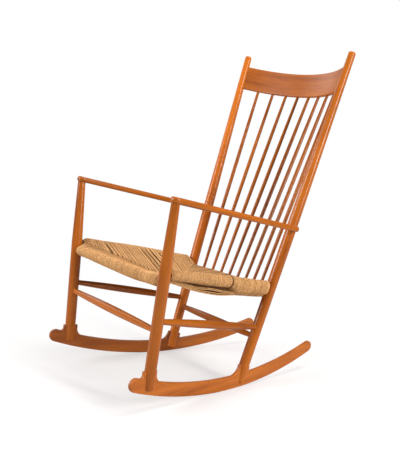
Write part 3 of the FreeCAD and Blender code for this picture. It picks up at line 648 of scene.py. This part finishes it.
# Between the two layers of cord is the stuffing, folds of brown card pushed in while weaving.
# Its near-black colour is painted shade: it shows only as the dark in the gaps between slack cords.
# Its upper and lower faces meet in an edge along each side.
pad_columns = 25
pad_rows = 21
pad_end = 0.04
pad_front_gap = 0.012
pad_rear_gap = 0.008
pad_side_gap = 0.022
pad_power = 6
pad_rise = 0.0015
pad_clear = 0.0045
pad_weld = 1e-6
# The card's colour is near black: painted shade.
card_painted_shade = ((0.3, (0.030, 0.013, 0.004)), (0.7, (0.075, 0.034, 0.012)))
pad_x, pad_y = np.meshgrid(np.linspace(-1, 1, pad_columns), np.linspace(pad_end, 1 - pad_end, pad_rows))
pad_depth = rear_rail_end[1] - side_rail_front[1] - pad_front_gap - pad_rear_gap
pad_behind = side_rail_front[1] + pad_front_gap + pad_y * pad_depth
pad_share = (pad_behind - side_rail_front[1]) / (side_rail_rear[1] - side_rail_front[1])
pad_out = pad_x * (along_side_rail(pad_share)[..., 0] - pad_side_gap)
pad_level, pad_slack = seat_level(pad_out, pad_behind)
pad_thick = (1 - pad_x ** pad_power) * (1 - (2 * pad_y - 1) ** pad_power)
pad_heights = (pad_level + pad_rise * pad_thick, pad_level - (pad_slack - pad_clear) * pad_thick)
pad_points = [np.stack([pad_out, pad_behind, height], -1).reshape(-1, 3) for height in pad_heights]
pad_index = np.arange(pad_x.size).reshape(pad_x.shape)
pad_faces = np.stack(
    [pad_index[:-1, :-1], pad_index[:-1, 1:], pad_index[1:, 1:], pad_index[1:, :-1]], -1
).reshape(-1, 4)
pad_mesh = bpy.data.meshes.new("seat_stuffing")
pad_mesh.from_pydata(
    np.concatenate(pad_points), [], np.concatenate([pad_faces, pad_faces[:, ::-1] + pad_x.size])
)
pad_shell = bmesh.new()
pad_shell.from_mesh(pad_mesh)
bmesh.ops.remove_doubles(pad_shell, verts=pad_shell.verts, dist=pad_weld)
pad_shell.to_mesh(pad_mesh)
pad_shell.free()
pad_mesh.shade_smooth()
seat_stuffing = set_out("seat_stuffing", pad_mesh)
shaded_card, card_shader = new_finish("card in painted shade")
card_spot = add_node(shaded_card, "ShaderNodeTexCoord").outputs["Object"]
card_noise = add_node(shaded_card, "ShaderNodeTexNoise", Vector=card_spot, Scale=90.0, Detail=3.0).outputs[0]
feed(shaded_card, card_shader, {"Base Color": ramp(shaded_card, card_noise, card_painted_shade), "Roughness": 0.9})
pad_mesh.materials.append(shaded_card)
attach(seat_stuffing, "root")

# The chair stands on a plain white studio floor, which keeps the chair's shadow and fades into
# a white backdrop. The wood's sheen and the bounced light meet a greyer floor than the camera does.
floor_half = 9
floor_tones = ((0.0, (0.50, 0.485, 0.48)), (1.0, (0.84, 0.815, 0.81)))
floor_glint = 0.15
fade_start = 0.40
fade_end = 1.0
fade_least = 0.48
floor_corners = [(x * floor_half, y * floor_half, 0) for x, y in ((-1, -1), (1, -1), (1, 1), (-1, 1))]
floor_mesh = bpy.data.meshes.new("floor")
floor_mesh.from_pydata(floor_corners, [], [(0, 1, 2, 3)])
floor = set_out("floor", floor_mesh)
white_floor, floor_shader = new_finish("white floor")
floor_spot = add_node(white_floor, "ShaderNodeTexCoord").outputs["Object"]
floor_reach = add_node(white_floor, "ShaderNodeVectorMath", {"operation": "LENGTH"}, i0=floor_spot)
fade = add_node(
    white_floor, "ShaderNodeMapRange", {"interpolation_type": "SMOOTHSTEP"},
    Value=floor_reach.outputs["Value"], i1=fade_start, i2=fade_end, i3=fade_least, i4=1.0,
).outputs[0]
floor_path = add_node(white_floor, "ShaderNodeLightPath").outputs
seen = maths(white_floor, "MULTIPLY", floor_path["Is Glossy Ray"], floor_glint)
seen = maths(white_floor, "MAXIMUM", seen, floor_path["Is Transmission Ray"])
seen = maths(white_floor, "MAXIMUM", seen, floor_path["Is Camera Ray"])
feed(white_floor, floor_shader, {
    "Base Color": ramp(white_floor, seen, floor_tones), "Roughness": 0.9, "Specular IOR Level": 0.1,
})
backdrop = add_node(white_floor, "ShaderNodeEmission", Color=(1, 1, 1, 1), Strength=1.0).outputs[0]
floor_mix = add_node(
    white_floor, "ShaderNodeMixShader", Fac=maths(white_floor, "MULTIPLY", fade, seen),
    i1=floor_shader.outputs[0], i2=backdrop,
).outputs[0]
feed(white_floor, white_floor.node_tree.nodes["Material Output"], {"Surface": floor_mix})
floor_mesh.materials.append(white_floor)

# The room is white to the camera and gives a faint even light. Four soft boxes light the chair:
# one overhead, a large one in front, a weak one on the far side and a narrow, upright one on the
# near side, which draws the streaks on the leaning posts.
room_light = 0.30
room_glint = 0.05
studio = bpy.data.worlds.new("studio")
bpy.context.scene.world = studio
studio.use_nodes = True
dim_room = studio.node_tree.nodes["Background"]
feed(studio, dim_room, {"Color": (1, 1, 1, 1), "Strength": room_light})
white_room = add_node(studio, "ShaderNodeBackground", Color=(1, 1, 1, 1), Strength=1.0).outputs[0]
room_path = add_node(studio, "ShaderNodeLightPath").outputs
room_seen = maths(studio, "MULTIPLY", room_path["Is Glossy Ray"], room_glint)
room_seen = maths(studio, "MAXIMUM", room_seen, room_path["Is Transmission Ray"])
room_seen = maths(studio, "MAXIMUM", room_seen, room_path["Is Camera Ray"])
room_mix = add_node(
    studio, "ShaderNodeMixShader", Fac=room_seen, i1=dim_room.outputs[0], i2=white_room
).outputs[0]
feed(studio, studio.node_tree.nodes["World Output"], {"Surface": room_mix})


def soft_box(name, spot, target, size, watts):
    """A rectangular soft box that faces its target."""
    lamp = bpy.data.lights.new(name, "AREA")
    lamp.shape = "RECTANGLE"
    lamp.size, lamp.size_y = size
    lamp.energy = watts
    box = set_out(name, lamp)
    box.location = spot
    box.rotation_euler = (Vector(target) - Vector(spot)).to_track_quat("-Z", "Y").to_euler()


soft_box("overhead box", spot=(0.5, 0.7, 3.2), target=(0, 0, 0.4), size=(1.4, 1.4), watts=56)
soft_box("front box", spot=(-1.0, -3.1, 1.6), target=(0, 0, 0.8), size=(1.8, 1.6), watts=100)
soft_box("far box", spot=(-2.7, -0.4, 1.8), target=(0, 0.1, 0.8), size=(2.2, 1.8), watts=22)
soft_box("side box", spot=(3.0, 0.6, 1.5), target=(0, 0, 0.8), size=(0.45, 1.9), watts=92)

# The camera stands at the photograph's place, ahead of the chair's left arm and a little above
# the arm. Its place and lens are those that bring the frame's joints to where the photograph has them.
camera_data = bpy.data.cameras.new("camera")
camera = set_out("camera", camera_data)
camera_data.sensor_fit = "VERTICAL"
camera_data.sensor_height = 36.0
camera_data.lens = 59.556
camera.matrix_world = Matrix((
    (0.58200, -0.15058, 0.79913, 1.95866),
    (0.81006, 0.02128, -0.58596, -1.44692),
    (0.07123, 0.98837, 0.13436, 0.82423),
    (0, 0, 0, 1),
))
bpy.context.scene.camera = camera
bpy.context.scene.view_settings.view_transform = "Standard"
